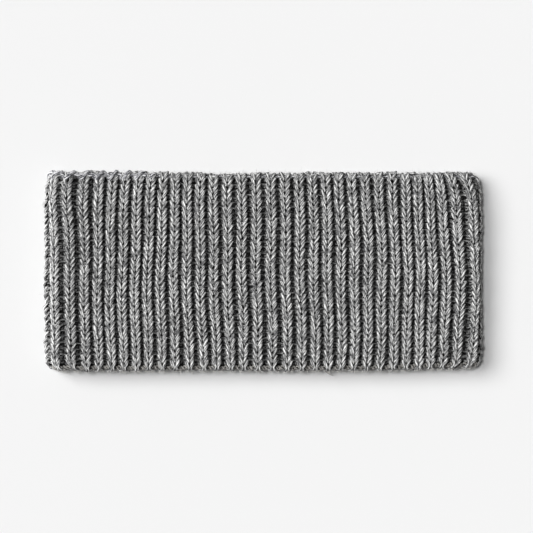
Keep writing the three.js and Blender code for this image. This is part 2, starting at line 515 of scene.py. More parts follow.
@dataclass(frozen=True)
class Shading:
    """Painted shade and light in the yarn's colour: darker deep in the wall or turned away, lighter on
    folds and ends.
    """

    turned: float = 0.00            # painted brightness of a side that is turned away
    rib_range: tuple[float, float] = (0.28, 0.62)       # depths over which a rib's painted shade gives way to full brightness
    bump_range: tuple[float, float] = (-0.63, -0.30)    # and those for painted light on the bumps of an open valley
    turned_range: tuple[float, float] = (0.22, 0.88)    # how squarely a side faces out, likewise
    fold_turned: float = 0.80       # painted brightness of a turned-away side on a fold, lighter than elsewhere
    fold_open_light: float = 0.60         # painted light on the bumps of the valleys there, from 0 to 1
    fold_painted_light: float = 1.20        # how much painted light brightens the yarn's colour there
    end_light: float = 0.85         # painted light on a side that faces out of an end of the ring
    end_range: tuple[float, float] = (50.8, 53.4)       # heights between which that begins to count
    end_lit_range: tuple[float, float] = (52.6, 53.7)      # and between which painted light lifts the shade of the last loops

    def from_one_side(
        self, depth: np.ndarray, facing: np.ndarray, bump: np.ndarray, end_lit: np.ndarray, fold: np.ndarray
    ) -> np.ndarray:
        """The painted share of the light from one side of the wall that reaches places on the yarn.

        Args:
            depth: How far a place lies out on that side, 1 at a leg's crest.
            facing: How squarely it faces that side, from -1 to 1.
            bump: How bright the bumps of its valley are painted, from 0 to 1.
            end_lit: How much painted light it gets at an end of the ring, from 0 to 1.
            fold: 1 at the rim of a fold and 0 on a layer.

        Returns:
            A number for each place.
        """
        rib = np.maximum(smooth_step(depth, *self.rib_range), end_lit)
        lit = np.maximum(rib, bump * smooth_step(depth, *self.bump_range))
        turned = self.turned + (self.fold_turned - self.turned) * fold
        return lit * (turned + (1 - turned) * smooth_step(facing, *self.turned_range))

    def brightness(
        self,
        place: np.ndarray,
        normal: np.ndarray,
        outward: np.ndarray,
        depth: np.ndarray,
        openness: np.ndarray,
    ) -> np.ndarray:
        """The painted brightness of places on the yarn: the greatest of that from either side of the
        wall and from the nearer end of the ring, times the painted light on a fold.

        Args:
            place: The places, as x, y, z on the last axis.
            normal: The way the yarn faces there.
            outward: The way out of the wall there.
            depth: How far a place lies out of the wall, 1 at a leg's crest and -1 at an inner one's.
            openness: How openly its valley lies, from 0 to 1.

        Returns:
            A number for each place.
        """
        facing = (normal * outward).sum(-1)
        fold = np.abs(outward[..., 0])
        bump = np.maximum(openness, self.fold_open_light * fold)
        end_lit = smooth_step(np.abs(place[..., 1]), *self.end_lit_range)
        outer = self.from_one_side(depth, facing, bump, end_lit, fold)
        inner = self.from_one_side(-depth, -facing, bump, end_lit, fold)
        near_end = smooth_step(np.abs(place[..., 1]), *self.end_range)
        end_facing = normal[..., 1] * np.sign(place[..., 1])
        from_end = self.end_light * near_end * smooth_step(end_facing, *self.turned_range)
        # Painted light that brightens the yarn's colour on a fold.
        fluff = 1 + (self.fold_painted_light - 1) * fold
        return fluff * np.maximum(np.where(facing > 0, outer, inner), from_end)


@dataclass
class Tubes:
    """Strands of yarn or fibre as swept tubes, all with the same number of stations and sides."""

    path: np.ndarray            # strand, station and x, y, z, in millimetres
    outward: np.ndarray         # the same shape: the way out of the wall at each station
    depth: np.ndarray           # strand, station: how far out of the wall, 1 at a leg's crest
    radius: np.ndarray          # strand, station
    openness: np.ndarray | float = 0.0      # strand, station: how openly its valley lies, for painted light on its bumps
    shading: Shading = field(default_factory=Shading)
    closed: bool = True
    sides: int = 6
    cuts: int = 1               # how many strips a strand is laid out in on the bake map
    columns: int = 1            # how many strips lie side by side on the bake map
    strip_fill: float = 0.90    # how much of its place on the bake map a strip takes
    tip_room: float = 0.1       # how much of a strip's length is left for each tip of an open strand
    start: float = 0.0          # the first strand's place on the endless yarn, for its pattern

    def frames(self) -> tuple[np.ndarray, np.ndarray]:
        """Two directions square to the path at each station, carried along without twisting.

        Each station's first direction is the last one's, less its part along the path. On a
        closed strand the angle that is left at the end is shared out along its whole length.

        Returns:
            The two directions, each as strand, station and x, y, z.
        """
        if self.closed:
            tangent = unit(np.roll(self.path, -1, axis=1) - np.roll(self.path, 1, axis=1))
        else:
            tangent = unit(np.gradient(self.path, axis=1))
        normal = np.empty_like(self.path)
        normal[:, 0] = across_part(self.outward[:, 0], tangent[:, 0])
        for station in range(1, self.path.shape[1]):
            normal[:, station] = across_part(normal[:, station - 1], tangent[:, station])
        second = np.cross(tangent, normal)
        if self.closed:
            last = across_part(normal[:, -1], tangent[:, 0])
            sine = (np.cross(last, normal[:, 0]) * tangent[:, 0]).sum(-1)
            cosine = (last * normal[:, 0]).sum(-1)
            share = np.arange(self.path.shape[1]) / self.path.shape[1]
            turn = (np.arctan2(sine, cosine)[:, None] * share[None])[..., None]
            normal, second = (
                normal * np.cos(turn) + second * np.sin(turn),
                second * np.cos(turn) - normal * np.sin(turn),
            )
        return normal, second

    def build(self, name: str) -> bpy.types.Object:
        """Makes the mesh: rings of corners square to the path, joined by quads.

        A corner lies at the path's point plus the radius times (cos a, sin a) on the two frame
        directions. An open strand ends in a point at both ends. The map `yarn` runs once round the
        strand and in millimetres along it. The attribute `shade` is the painted shade and light of a
        corner: how bright its colour is painted.

        Args:
            name: The piece's name.

        Returns:
            The new object.
        """
        strands, stations, _ = self.path.shape
        normal, second = self.frames()
        angle = TURN * np.arange(self.sides) / self.sides
        ring = (
            np.cos(angle)[:, None] * normal[:, :, None] + np.sin(angle)[:, None] * second[:, :, None]
        )
        corners = self.path[:, :, None] + self.radius[:, :, None, None] * ring
        openness = np.broadcast_to(self.openness, self.depth.shape)[:, :, None]
        shade = self.shading.brightness(
            corners, ring, self.outward[:, :, None], self.depth[:, :, None], openness
        )

        spans = stations if self.closed else stations - 1
        strand, span, side = index_grid(strands, spans, self.sides)

        def corner_index(step: int, turn: int) -> np.ndarray:
            """The index of a quad's corner, some stations on and some sides round."""
            station = (span + step) % stations
            return (strand * stations + station) * self.sides + (side + turn) % self.sides

        steps = ((0, 0), (0, 1), (1, 1), (1, 0))
        quads = np.stack([corner_index(step, turn) for step, turn in steps], -1)
        quad_maps = self.maps(strand, span, side, steps)

        vertices = corners.reshape(-1, 3)
        shade_values = shade.reshape(-1)
        triangles = np.empty((0, 3), int)
        triangle_maps = [np.empty((0, 3, 2)), np.empty((0, 3, 2))]
        if not self.closed:
            tips = self.path[:, [0, -1]].reshape(-1, 3)
            first_tip = len(vertices)
            vertices = np.vstack([vertices, tips])
            shade_values = np.concatenate([shade_values, shade[:, [0, -1]].mean(-1).ravel()])
            strand, side = index_grid(strands, self.sides)
            here = strand * stations * self.sides + side
            beside = strand * stations * self.sides + (side + 1) % self.sides
            last = (stations - 1) * self.sides
            start_tip = first_tip + 2 * strand
            triangles = np.vstack([
                np.stack([beside, here, start_tip], -1),
                np.stack([here + last, beside + last, start_tip + 1], -1),
            ])
            start_fan = self.maps(strand, 0 * strand, side, ((0, 1), (0, 0), (-0.5, 0.5)))
            end_fan = self.maps(strand, 0 * strand + spans - 1, side, ((1, 0), (1, 1), (1.5, 0.5)))
            triangle_maps = [np.concatenate(pair) for pair in zip(start_fan, end_fan)]

        return make_object(
            name,
            vertices * MM,
            [quads, triangles],
            {"yarn": [quad_maps[0], triangle_maps[0]], "OFBake": [quad_maps[1], triangle_maps[1]]},
            {"shade": shade_values},
        )

    @cached_property
    def lengths(self) -> np.ndarray:
        """How much yarn lies before each station, with one more column for the whole strand."""
        path = np.concatenate([self.path, self.path[:, :1]], 1) if self.closed else self.path
        steps = np.linalg.norm(np.diff(path, axis=1), axis=-1)
        return np.concatenate([np.zeros((len(path), 1)), np.cumsum(steps, axis=1)], 1)

    def maps(
        self,
        strand: np.ndarray,
        span: np.ndarray,
        side: np.ndarray,
        steps: tuple[tuple[float, float], ...],
    ) -> list[np.ndarray]:
        """Both maps at the corners of faces.

        On the bake map each strand is cut into strips of equal counts of spans, and each strip
        has a place of its own: as long as the square is wide, or shared by several columns.

        Args:
            strand: The strand of each face.
            span: The span between two stations that it covers.
            side: Its side of the tube.
            steps: For each corner, how far on it lies from there, in spans and in sides.

        Returns:
            The yarn map and the bake map, each as face, corner and two numbers.
        """
        last = self.lengths.shape[1] - 1
        per_cut = last // self.cuts
        cut = span // per_cut
        begin = self.lengths[strand, cut * per_cut]
        end = self.lengths[strand, (cut + 1) * per_cut]
        strip = strand * self.cuts + cut
        rows = math.ceil(len(self.path) * self.cuts / self.columns)
        pad = (1 - self.strip_fill) / 2
        yarn = []
        bake = []
        for along, around in steps:
            # Past its last station, an open strand's tip is half a mean radius away.
            whole = np.clip(span + along, 0, last).astype(int)
            length = self.lengths[strand, whole] + (span + along - whole) * self.radius.mean()
            share = (length - begin) / (end - begin)
            share = share if self.closed else self.tip_room + (1 - 2 * self.tip_room) * share
            turned = (side + around) / self.sides
            yarn.append(np.stack([turned, self.start + length + strand * STRAND_STEP], -1))
            across = (strip % self.columns + share) / self.columns
            upward = (strip // self.columns + pad + self.strip_fill * turned) / rows
            bake.append(np.stack([across, upward], -1))
        return [np.stack(yarn, 1), np.stack(bake, 1)]


def make_object(
    name: str,
    vertices: np.ndarray,
    faces: list[np.ndarray],
    maps: dict[str, list[np.ndarray]],
    attributes: dict[str, np.ndarray],
) -> bpy.types.Object:
    """Puts whole arrays into a new smooth mesh object at the origin.

    Args:
        name: The piece's name.
        vertices: One row of x, y, z for each, in metres.
        faces: Arrays of vertex numbers, one array for each number of corners.
        maps: For each UV map, arrays that match `faces` with two numbers at each corner.
        attributes: Numbers for each vertex, by name.

    Returns:
        The object, linked to the scene.
    """
    mesh = bpy.data.meshes.new(name)
    mesh.vertices.add(len(vertices))
    mesh.vertices.foreach_set("co", vertices.astype(np.float32).ravel())
    corners = np.concatenate([group.ravel() for group in faces])
    sizes = np.concatenate([np.full(len(group), group.shape[1]) for group in faces])
    mesh.loops.add(len(corners))
    mesh.loops.foreach_set("vertex_index", corners.astype(np.int32))
    mesh.polygons.add(len(sizes))
    mesh.polygons.foreach_set("loop_start", (np.cumsum(sizes) - sizes).astype(np.int32))
    mesh.polygons.foreach_set("use_smooth", np.ones(len(sizes), bool))
    mesh.update(calc_edges=True)
    for map_name, groups in maps.items():
        layer = mesh.uv_layers.new(name=map_name)
        layer.data.foreach_set(
            "uv", np.concatenate([group.reshape(-1) for group in groups]).astype(np.float32)
        )
    for attribute_name, values in attributes.items():
        attribute = mesh.attributes.new(attribute_name, "FLOAT", "POINT")
        attribute.data.foreach_set("value", np.ascontiguousarray(values, dtype=np.float32))
    made = bpy.data.objects.new(name, mesh)
    bpy.context.collection.objects.link(made)
    return made


@dataclass(frozen=True)
class KnitCourses:
    """The courses of the rib, each a closed strand of yarn once round the ring."""

    shape: BandShape
    stitch: Stitch = field(default_factory=Stitch)
    courses: int = 34
    lowest_foot: float = -52.40     # the foot of the first course
    highest_head: float = 54.6      # the heads of the last one
    yarn_radius: float = 0.90
    stations: int = 12              # in each column
    courses_per_piece: int = 5
    strips_per_course: int = 8
    nest_narrowing: float = 0.10    # how much of its width a nested course may lose
    nest_sinking: float = 0.30      # and how far it may sink between its neighbours
    nest_wave: float = 0.55         # how fast that comes and goes up a column, in radians a course
    scatter_width: float = 0.03     # how unlike each other the stitches are in width,
    scatter_out: float = 0.13       # in how far they stand out,
    scatter_fold: float = 0.15      # how much more so on a fold,
    scatter_aside: float = 0.07     # in their place along the band,
    scatter_leg: float = 0.30       # in the height of each leg,
    scatter_column: float = 0.55    # in the height of a whole column,
    scatter_yarn: float = 0.07      # in thickness,
    scatter_last: float = 0.45      # and, in the last course, in how far out
    scatter_edge: float = 0.45      # and how high the heads lie
    drift_from: float = 0.40        # how far from mid-height, as a share of all courses, a column's
    drift_to: float = 0.50          # own height begins to fade, and where it is gone
    hem_narrowing: float = 0.08     # how much narrower a rib is at the cast-on end
    narrow_courses: float = 6.0     # and over how many courses it grows as wide as elsewhere
    sway: float = 0.34              # how far a column wanders sideways on its way up,
    sway_courses: float = 17.0      # the length of one such wave,
    sway_shift: float = 0.28        # and how unlike its neighbour's wave it is
    seed: int = 7

    def control_points(self) -> np.ndarray:
        """The points of every stitch on the strip, each a little unlike its neighbours.

        Every other course is nested: it may lie narrower and deeper than the two beside it, which
        comes and goes in slow waves up each column. Each column also sways sideways in a long
        wave, whose phase shifts a little from each column to the next and closes round the ring.
        The first course's feet and the last one's heads lie further out, and its last ones lower.

        Returns:
            For each course, its points in turn, with along, up, out and the yarn's thickness.
        """
        draw = np.random.default_rng(self.seed)
        table = self.stitch.whole()
        count = 2 * self.shape.ribs
        column = np.arange(count)[None, :, None]
        course = np.arange(self.courses)[:, None, None]
        face = np.where(column % 2 == 0, 1.0, -1.0)
        nest_phase = draw.uniform(0, TURN, column.shape)
        nested = course % 2 * (0.5 + 0.5 * np.sin(course * self.nest_wave + nest_phase))

        def scattered(spread: float, width: int = 1) -> np.ndarray:
            """Normal scatter for each stitch."""
            return spread * draw.standard_normal((self.courses, count, width))

        step = (self.highest_head - self.stitch.height - self.lowest_foot) / (self.courses - 1)
        drift = self.scatter_column * draw.standard_normal(column.shape)
        drift = (np.roll(drift, 1, axis=1) + drift + np.roll(drift, -1, axis=1)) / math.sqrt(3)
        from_middle = np.abs(course / (self.courses - 1) - 0.5)
        inward = 1 - smooth_step(from_middle, self.drift_from, self.drift_to)
        narrower = self.hem_narrowing * (1 - smooth_step(course, 0, self.narrow_courses))
        width = 1 + scattered(self.scatter_width) - self.nest_narrowing * nested - narrower
        straight = (column + 1) * self.shape.rib_pitch / 2
        level = np.zeros(column.shape)
        fold = self.shape.fold_weight(self.shape.strip_arc(straight, level, level))
        raised = scattered(1.0) * (self.scatter_out + self.scatter_fold * fold)
        raised = raised - self.nest_sinking * nested
        legs = scattered(self.scatter_leg, 2)
        leg = np.where(np.arange(len(table)) < len(table) / 2, legs[..., :1], legs[..., 1:])
        phase = np.cumsum(draw.uniform(-TURN / 2, TURN / 2, column.shape) * self.sway_shift, axis=1)
        phase = phase - phase[:, -1:] * column / count
        wave = TURN * course / self.sway_courses + phase
        middle = straight + self.sway * np.sin(wave)
        along = middle + scattered(self.scatter_aside) + width * table[:, 0]
        first = (course == 0) & (table[:, 1] < self.stitch.foot_below)
        top = course == self.courses - 1
        last = top & (table[:, 1] > self.stitch.head_from)
        shoulder = top & ~last & (table[:, 1] > self.stitch.shoulder_from)
        forward = np.where(last, self.stitch.last_forward + scattered(self.scatter_last), 0)
        forward = forward + np.where(first, self.stitch.first_forward, 0)
        up = self.lowest_foot + course * step + table[:, 1] + leg + drift * inward
        drop = np.where(last, self.stitch.last_drop, np.where(shoulder, self.stitch.shoulder_drop, 0))
        up = up - drop + np.where(top, scattered(self.scatter_edge), 0)
        out = face * (table[:, 2] + raised * table[:, 2] / self.stitch.crest + forward)
        thickness = (1 + scattered(self.scatter_yarn)) * table[:, 3]
        return np.stack([along, up, out, thickness], -1).reshape(self.courses, -1, 4)

    def build(self) -> list[bpy.types.Object]:
        """Makes the courses, a few to each piece.

        Returns:
            The pieces, from the cast-on end up.
        """
        count = 2 * self.shape.ribs * self.stations
        strip = closed_spline(self.control_points(), self.shape.strip_length, count)
        path, outward = self.shape.drape(strip[..., :3], self.yarn_radius)
        pieces = []
        for first in range(0, self.courses, self.courses_per_piece):
            part = slice(first, first + self.courses_per_piece)
            tubes = Tubes(
                path=path[part],
                outward=outward[part],
                depth=strip[part, :, 2] / self.stitch.crest,
                radius=self.yarn_radius * strip[part, :, 3],
                openness=self.shape.openness(strip[part, :, 0], strip[part, :, 1]),
                cuts=self.strips_per_course,
                start=first * STRAND_STEP,
            )
            pieces.append(tubes.build(f"knit_courses_{len(pieces) + 1}"))
        return pieces


@dataclass(frozen=True)
class EdgeChain:
    """The chain of loops that closes one end of the ring: strands twisted round each other."""

    shape: BandShape
    end: End
    middle: float = 52.0            # height of the chain's middle above mid-height
    yarn_radius: float = 0.60
    rise: float = 0.40              # how far a strand swings up and down the band
    depth: float = 0.65             # and through the wall
    scallop: float = 0.30           # how far the chain stands up over a knit rib
    scallop_lean: float = 0.25      # how far along the band its humps lie, as a share of a rib
    lift: float = -0.90             # how far out of the middle of the wall it lies
    through: float = 1.60           # and how much further out behind the last V of a rib
    proud_rise: float = 0.55        # where the chain lies on the front of the band beside the left
    proud_out: float = 1.60         # fold, how far it moves up and out
    proud_swell: float = 1.25       # and how much thicker it is and wider it swings
    proud_reach: float = 60.0
    proud_fade: float = 20.0        # the length over which it moves back
    proud_hump: float = 0.90        # and how much higher its humps stand
    shading: Shading = field(default_factory=Shading)
    strands: int = 2
    turns_per_rib: int = 1
    points_per_rib: int = 12
    stations_per_rib: int = 24
    scatter: float = 0.14
    strips_per_strand: int = 11
    yarn_start: float = 5000.0      # where its yarn's pattern starts, past that of the courses
    seed: int = 21

    def build(self) -> bpy.types.Object:
        """Makes the chain. On the strip a strand is a helix: up and out go as sine and cosine of
        its turn. Both strands stand up in one hump for each rib, which goes as the size of a
        sine, and come out with each knit rib, which goes as a sine squared.

        Returns:
            The piece.
        """
        draw = np.random.default_rng(self.seed)
        count = self.shape.ribs * self.points_per_rib
        place = np.arange(count) / self.points_per_rib
        strand = np.arange(self.strands)[:, None]
        angle = TURN * (self.turns_per_rib * place + strand / self.strands)

        def scattered() -> np.ndarray:
            """Normal scatter for each point."""
            return self.scatter * draw.standard_normal(angle.shape)

        along = np.broadcast_to(place * self.shape.rib_pitch, angle.shape)
        from_fold = np.minimum(along, self.shape.strip_length - along)
        proud = 1 - smooth_step(from_fold, self.proud_reach - self.proud_fade, self.proud_reach)
        hump = 2 * np.abs(np.sin(math.pi * (place - self.scallop_lean))) - 1
        rib = np.sin(math.pi * place) ** 2
        swell = 1 + self.proud_swell * proud
        up = self.middle + swell * self.rise * np.sin(angle) + self.proud_rise * proud + scattered()
        up = up + (self.scallop + self.proud_hump * proud) * hump
        out = self.lift + self.through * rib + self.depth * np.cos(angle) + self.proud_out * proud
        out = out + scattered()
        thickness = (1 + scattered() / 2) * (1 + (swell - 1) / 2)
        points = np.stack([along, self.end.value * up, out, thickness], -1)
        stations = self.shape.ribs * self.stations_per_rib
        strip = closed_spline(points, self.shape.strip_length, stations)
        path, outward = self.shape.drape(strip[..., :3], self.yarn_radius)
        tubes = Tubes(
            path=path,
            outward=outward,
            depth=np.ones_like(strip[..., 2]),
            radius=self.yarn_radius * strip[..., 3],
            shading=self.shading,
            cuts=self.strips_per_strand,
            start=self.yarn_start,
        )
        return tubes.build(f"{self.end.name.lower()}_chain")


@dataclass(frozen=True)
class FibreLayer:
    """The loose fibre that fills the middle of the wall, so that no light comes through it."""

    shape: BandShape
    half_height: float = 52.4       # it ends just inside the first and the last course
    swing: float = 0.95             # how far it follows the knit and purl columns out and in
    steps_per_rib: int = 8
    rows: int = 36                  # of faces, from one end of the ring to the other

    def build(self) -> bpy.types.Object:
        """Makes the layer: one closed surface round the ring, whose height above the middle of
        the wall is a cosine wave with its crest in each knit rib and its trough in each purl one.

        Returns:
            The piece.
        """
        around = self.shape.ribs * self.steps_per_rib
        place = np.arange(around) / self.steps_per_rib
        up = np.linspace(-self.half_height, self.half_height, self.rows + 1)
        along, height = np.meshgrid(place * self.shape.rib_pitch, up, indexing="ij")
        out = -self.swing * np.cos(TURN * along / self.shape.rib_pitch)
        path, _ = self.shape.drape(np.stack([along, height, out], -1), self.swing)
        step, row = index_grid(around, self.rows)
        turns = ((0, 0), (0, 1), (1, 1), (1, 0))
        width = self.rows + 1
        quads = np.stack([(step + on) % around * width + row + higher for on, higher in turns], -1)
        places = [((step + on) / around, (row + higher) / self.rows) for on, higher in turns]
        maps = {"OFBake": [np.stack([np.stack(place, -1) for place in places], 1)]}
        return make_object("fibre_layer", path.reshape(-1, 3) * MM, [quads], maps, {})


@dataclass(frozen=True)
class LooseFibres:
    """Single fibres that stand off the yarn, on the ribs and along the edges."""

    shape: BandShape
    name: str = "loose_fibres"
    on_ribs: int = 1500
    on_edges: int = 1100
    ends: tuple[End, ...] = (End.CAST_ON, End.BIND_OFF)
    first_rib: int = 0              # they stand on the ribs from this one
    last_rib: int = 65              # to this one, counted from the left fold
    radius: float = 0.04
    tip: float = 0.5                # the radius at the tip, as a share of that at the root
    stations: int = 6
    crest: float = 2.3              # where the fibres leave the yarn, above the middle of the wall
    rib_half: float = 2.7           # how far aside of a rib's middle they may stand
    rib_round: float = 0.8          # how much of the square of the crest's height is lost there
    rib_stand: float = 0.55         # how steeply they stand off a rib
    edge_stand: float = 0.6         # and off an edge
    edge_pull: float = 2.0          # how strongly those on an edge point away from the band
    bend: float = 0.5               # how far its tip bends aside, as a share of its length
    rooted: float = 0.15            # how much of its length a fibre also reaches into the yarn
    shortest: float = 0.9
    longest: float = 2.6
    edge_share: float = 0.55        # how long the fibres along the edges are beside the others
    edge: float = 54.2              # the height of an edge above mid-height
    columns: int = 52               # how many fibres lie side by side on the bake map
    strip_fill: float = 0.8         # and how much of its place there each takes across
    seed: int = 33

    def build(self) -> bpy.types.Object:
        """Makes the fibres. Each starts inside the yarn and goes on in its own direction, and its
        bend grows with the square of the way along it.

        Returns:
            The piece.
        """
        draw = np.random.default_rng(self.seed)
        count = self.on_ribs + self.on_edges
        on_edge = np.arange(count) >= self.on_ribs
        rib = draw.integers(self.first_rib, self.last_rib, count, endpoint=True)
        aside = draw.uniform(-1, 1, count)
        end = draw.choice([float(end.value) for end in self.ends], count)
        up = np.where(on_edge, end * self.edge, draw.uniform(-self.edge, self.edge, count))
        along = (rib + 0.5) * self.shape.rib_pitch + aside * self.rib_half
        out = self.crest * np.sqrt(1 - self.rib_round * aside**2)
        out = out * np.where(on_edge, draw.uniform(-1, 1, count), 1)
        length = draw.uniform(self.shortest, self.longest, count) * np.where(on_edge, self.edge_share, 1)

        way = draw.standard_normal((count, 3))
        way[:, 1] += np.where(on_edge, self.edge_pull * end, 0)
        off_rib = self.rib_stand * np.abs(way[:, 2])
        way[:, 2] = np.where(on_edge, self.edge_stand * way[:, 2], off_rib)
        bend = self.bend * draw.standard_normal((count, 3))
        share = np.linspace(-self.rooted, 1, self.stations)[None, :, None]
        root = np.stack([along, up, out], -1)[:, None]
        course = unit(way)[:, None] * share + bend[:, None] * share**2
        strip = root + length[:, None, None] * course
        path, outward = self.shape.drape(strip, self.radius)
        path[..., 2] = np.maximum(path[..., 2], self.radius)
        taper = np.linspace(1, self.tip, self.stations)
        tubes = Tubes(
            path=path,
            outward=outward,
            depth=np.ones(path.shape[:2]),
            radius=np.broadcast_to(self.radius * taper, path.shape[:2]),
            closed=False,
            sides=3,
            columns=self.columns,
            strip_fill=self.strip_fill,
        )
        return tubes.build(self.name)


@dataclass(frozen=True)
class YarnEnd:
    """A short end of yarn that slips out of the cast-on edge, right of the middle."""

    shape: BandShape
    along: float = 143.6            # its place along the strip, from which `across` is counted
    radius: float = 0.36
    tip: float = 0.45               # the radius at the tip, as a share of that at the root
    samples_per_point: int = 4
    yarn_start: float = 6000.0      # where its yarn's pattern starts, past that of the chains
    points: tuple[StitchPoint, ...] = (
        StitchPoint(-3.0, -51.8, 1.2),
        StitchPoint(-1.9, -53.4, 2.4),
        StitchPoint(0.0, -54.9, 2.7),
        StitchPoint(1.6, -55.7, 2.2),
        StitchPoint(2.9, -56.1, 1.7),
    )

    def build(self) -> bpy.types.Object:
        """Makes the end as one tapering strand.

        Returns:
            The piece.
        """
        table = np.array([(self.along + point.across, point.up, point.out) for point in self.points])
        numbers = np.arange(len(table))
        share = np.linspace(0, numbers[-1], self.samples_per_point * len(table))
        strip = np.stack([np.interp(share, numbers, column) for column in table.T], -1)
        strip[1:-1] = (strip[:-2] + 2 * strip[1:-1] + strip[2:]) / 4
        path, outward = self.shape.drape(strip[None], self.radius)
        taper = np.linspace(1, self.tip, len(strip))[None]
        tubes = Tubes(
            path=path,
            outward=outward,
            depth=np.ones(path.shape[:2]),
            radius=self.radius * taper,
            closed=False,
            start=self.yarn_start,
        )
        return tubes.build("yarn_end")


class Sketch:
    """Builds the node tree of a material or world: each method adds a node."""

    def __init__(self, owner: bpy.types.Material | bpy.types.World, shader: str) -> None:
        """Starts on a tree that has only its shader.

        Args:
            owner: The new material or world.
            shader: The name of its shader's node.
        """
        owner.use_nodes = True
        self.tree = owner.node_tree
        self.shader = self.tree.nodes[shader]

    def settle(self, values: dict[str, float | tuple[float, ...]]) -> None:
        """Sets the shader's own sockets to plain values, by name."""
        for name, value in values.items():
            self.shader.inputs[name].default_value = value

    def feed(self, socket: Socket, value: Socket | float | tuple[float, ...]) -> None:
        """Links an output to a socket, or sets the socket to a plain value.

        Args:
            socket: The input.
            value: What goes into it.
        """
        if isinstance(value, Socket):
            self.tree.links.new(value, socket)
        else:
            socket.default_value = value

    def math(self, operation: str, first: Socket | float, second: Socket | float = 0.0) -> Socket:
        """One sum of two numbers.

        Args:
            operation: Blender's name for it, such as MULTIPLY.
            first: The first number.
            second: The second number.

        Returns:
            The result.
        """
        node = self.tree.nodes.new("ShaderNodeMath")
        node.operation = operation
        self.feed(node.inputs[0], first)
        self.feed(node.inputs[1], second)
        return node.outputs[0]

    def remap(self, value: Socket, low: float, high: float, to_low: float, to_high: float) -> Socket:
        """Brings a number from one range to another, softly at both ends.

        Args:
            value: The number.
            low: The low end of its range.
            high: The high end.
            to_low: What the low end becomes.
            to_high: What the high end becomes.

        Returns:
            The result.
        """
        node = self.tree.nodes.new("ShaderNodeMapRange")
        node.interpolation_type = "SMOOTHSTEP"
        self.feed(node.inputs["Value"], value)
        for name, number in (
            ("From Min", low), ("From Max", high), ("To Min", to_low), ("To Max", to_high),
        ):
            node.inputs[name].default_value = number
        return node.outputs[0]

    def attribute(self, name: str) -> Socket:
        """The mesh's own number of this name."""
        node = self.tree.nodes.new("ShaderNodeAttribute")
        node.attribute_name = name
        return node.outputs["Fac"]

    def map_axes(self, name: str) -> tuple[Socket, Socket]:
        """The two numbers of a UV map."""
        node = self.tree.nodes.new("ShaderNodeUVMap")
        node.uv_map = name
        return self.split(node.outputs["UV"])[:2]

    def place(self, kind: str) -> Socket:
        """The place on the object in metres, for Object, or a direction, for Generated in a world."""
        return self.tree.nodes.new("ShaderNodeTexCoord").outputs[kind]

    def split(self, vector: Socket) -> tuple[Socket, ...]:
        """The three numbers of a vector."""
        node = self.tree.nodes.new("ShaderNodeSeparateXYZ")
        self.feed(node.inputs[0], vector)
        return tuple(node.outputs)

    def vector(self, x: Socket | float, y: Socket | float, z: Socket | float) -> Socket:
        """Three numbers as a vector.

        Args:
            x: The first number.
            y: The second number.
            z: The third number.

        Returns:
            The vector.
        """
        node = self.tree.nodes.new("ShaderNodeCombineXYZ")
        for socket, value in zip(node.inputs, (x, y, z)):
            self.feed(socket, value)
        return node.outputs[0]

    def noise(self, place: Socket, scale: float, detail: float) -> Socket:
        """Soft noise.

        Args:
            place: Where to read it.
            scale: How fine it is.
            detail: How many finer layers lie on it.

        Returns:
            Its height, mostly between 0.3 and 0.7.
        """
        node = self.tree.nodes.new("ShaderNodeTexNoise")
        node.inputs["Scale"].default_value = scale
        node.inputs["Detail"].default_value = detail
        self.feed(node.inputs["Vector"], place)
        return node.outputs["Fac"]

    def blend(self, share: Socket, first: tuple[float, ...], second: tuple[float, ...]) -> Socket:
        """A colour between two.

        Args:
            share: 0 for the first and 1 for the second.
            first: Red, green and blue.
            second: Red, green and blue.

        Returns:
            The colour.
        """
        node = self.tree.nodes.new("ShaderNodeMix")
        node.data_type = "RGBA"
        self.feed(node.inputs["Factor"], share)
        node.inputs["A"].default_value = (*first, 1.0)
        node.inputs["B"].default_value = (*second, 1.0)
        return node.outputs["Result"]

    def times(self, colour: Socket, factor: Socket) -> Socket:
        """A colour made lighter or darker by a number.

        Args:
            colour: The colour.
            factor: The number.

        Returns:
            The colour times the number.
        """
        node = self.tree.nodes.new("ShaderNodeMix")
        node.data_type = "RGBA"
        node.blend_type = "MULTIPLY"
        node.inputs["Factor"].default_value = 1.0
        self.feed(node.inputs["A"], colour)
        self.feed(node.inputs["B"], factor)
        return node.outputs["Result"]

    def bump(self, height: Socket, distance: float, strength: float) -> None:
        """Gives the shader a fine relief.

        Args:
            height: The relief's height, about 0 to 1.
            distance: What a height of 1 stands for, in metres.
            strength: How strongly it shows.
        """
        node = self.tree.nodes.new("ShaderNodeBump")
        node.inputs["Strength"].default_value = strength
        node.inputs["Distance"].default_value = distance
        self.feed(node.inputs["Height"], height)
        self.feed(self.shader.inputs["Normal"], node.outputs[0])


